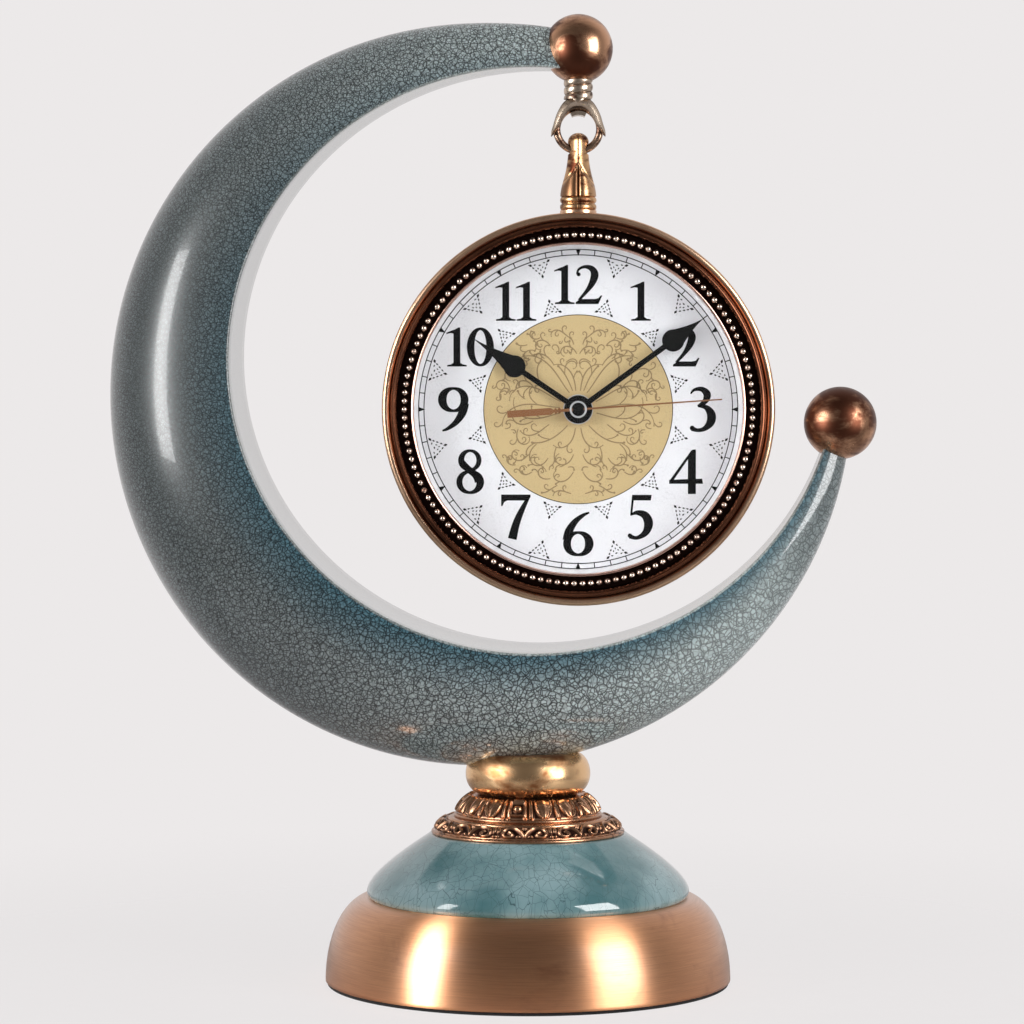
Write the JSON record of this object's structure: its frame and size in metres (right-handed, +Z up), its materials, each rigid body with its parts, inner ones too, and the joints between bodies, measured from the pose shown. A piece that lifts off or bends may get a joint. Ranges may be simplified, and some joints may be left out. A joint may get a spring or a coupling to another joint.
{
  "type": "ceramic table clock",
  "caption": "Crackle glazed crescent stand on a metal and ceramic foot, with a round analogue clock hanging by a ring from its upper horn.",
  "frame": {"origin": "centre of the base's flat underside, on the table", "axes": "+Z up, the dial faces -Y, and +X is to the right as the viewer sees the dial"},
  "size_m": [0.3319, 0.176, 0.4193],
  "materials": {
    "felt": "black felt",
    "board": "plain pressed board",
    "iron_weight": "raw casting",
    "brushed_copper": "copper plated, brushed round and lacquered",
    "teal_glaze": "glossy teal glaze with a large crackle",
    "crackle_glaze": "glossy blue grey glaze with a fine dark crackle",
    "dark_antique_copper": "antique copper with polished high spots",
    "antique_gold": "antique gold plating, smudged",
    "antique_brass": "antique bronze plating with dark smudges",
    "steel": "zinc plated",
    "plaster": "cast plaster",
    "copper_case": "copper plated, polished",
    "white_plastic": "gloss white",
    "glass": "clear",
    "dial_white": "white enamelled sheet",
    "black_metal": "black painted",
    "black_plastic": "matt black",
    "copper_wire": "enamelled winding",
    "green_board": "solder mask",
    "battery_jacket": "plain printed jacket",
    "antique_needle": "antique copper paint"
  },
  "bodies": {
    "stand": {"felt_pad": "felt", "bottom_board": "board", "base_weight": "iron_weight", "base_dome": "brushed_copper", "glazed_collar": "teal_glaze", "leaf_ring": "dark_antique_copper", "pillow_ring": "antique_gold", "tie_rod": "steel", "rod_nut": "steel", "rod_washer": "steel", "anchor_plug": "plaster", "tee_nut": "steel", "crescent": "crackle_glaze", "ball_top": "antique_brass", "ball_right": "antique_brass", "hanger_fork": "antique_gold"},
    "link_ring": {"hang_ring": "antique_brass"},
    "clock": {"finial": "antique_gold", "case_drum": "copper_case", "bezel": "copper_case", "bead_ring": "dark_antique_copper", "glass": "glass", "spacer_ring": "white_plastic", "dial_plate": "dial_white", "back_cover": "black_plastic", "cover_screws": "steel", "movement_case": "black_plastic", "movement_back": "black_plastic", "bush_washer": "steel", "bush_nut": "copper_case", "stator": "steel", "coil": "copper_wire", "circuit_board": "green_board", "crystal_can": "steel", "battery_contacts": "steel"},
    "second_train": {"second_wheel": "steel", "second_hand": "antique_needle"},
    "minute_train": {"minute_wheel": "white_plastic", "minute_hand": "black_metal"},
    "hour_train": {"hour_wheel": "white_plastic", "hour_hand": "black_metal"},
    "rotor_arbor": {"rotor": "steel"},
    "step_arbor": {"step_wheel": "white_plastic"},
    "third_arbor": {"third_wheel": "white_plastic"},
    "motion_arbor": {"motion_wheel": "white_plastic"},
    "knob": {"setting_knob": "black_plastic"},
    "cell": {"battery": "battery_jacket"}
  },
  "joints": [
    {"name": "ring_turn", "type": "hinge", "parent": "stand", "child": "link_ring", "pos_m": [0.02171, 0, 0.36975], "axis": [0, 1, 0], "range_deg": [-6, 20]},
    {"name": "clock_swing", "type": "hinge", "parent": "link_ring", "child": "clock", "pos_m": [0.02171, 0, 0.36116], "axis": [1, 0, 0], "range_deg": [-30, 30]},
    {"name": "second_spin", "type": "hinge", "parent": "clock", "child": "second_train", "pos_m": [0.02171, 0, 0.24876], "axis": [0, 1, 0], "continuous": true},
    {"name": "minute_spin", "type": "hinge", "parent": "clock", "child": "minute_train", "pos_m": [0.02171, 0, 0.24876], "axis": [0, 1, 0], "continuous": true},
    {"name": "hour_spin", "type": "hinge", "parent": "clock", "child": "hour_train", "pos_m": [0.02171, 0, 0.24876], "axis": [0, 1, 0], "continuous": true},
    {"name": "rotor_spin", "type": "hinge", "parent": "clock", "child": "rotor_arbor", "pos_m": [0.02777, 0, 0.26126], "axis": [0, 1, 0], "continuous": true},
    {"name": "step_spin", "type": "hinge", "parent": "clock", "child": "step_arbor", "pos_m": [0.02171, 0, 0.25776], "axis": [0, 1, 0], "continuous": true},
    {"name": "third_spin", "type": "hinge", "parent": "clock", "child": "third_arbor", "pos_m": [0.01478, 0, 0.25276], "axis": [0, 1, 0], "continuous": true},
    {"name": "motion_spin", "type": "hinge", "parent": "clock", "child": "motion_arbor", "pos_m": [0.02864, 0, 0.25276], "axis": [0, 1, 0], "continuous": true},
    {"name": "knob_turn", "type": "hinge", "parent": "clock", "child": "knob", "pos_m": [0.03624, 0, 0.25029], "axis": [0, 1, 0], "continuous": true},
    {"name": "battery_lift", "type": "slide", "parent": "clock", "child": "cell", "axis": [0, 1, 0], "range_m": [0, 0.03]}
  ],
  "couplings": [
    {"joint": "rotor_spin", "follows": "second_spin", "ratio": 30},
    {"joint": "step_spin", "follows": "second_spin", "ratio": -5},
    {"joint": "third_spin", "follows": "second_spin", "ratio": -0.13333},
    {"joint": "minute_spin", "follows": "second_spin", "ratio": 0.016667},
    {"joint": "motion_spin", "follows": "second_spin", "ratio": -0.0055556},
    {"joint": "hour_spin", "follows": "second_spin", "ratio": 0.0013889},
    {"joint": "knob_turn", "follows": "second_spin", "ratio": 0.016667}
  ]
}
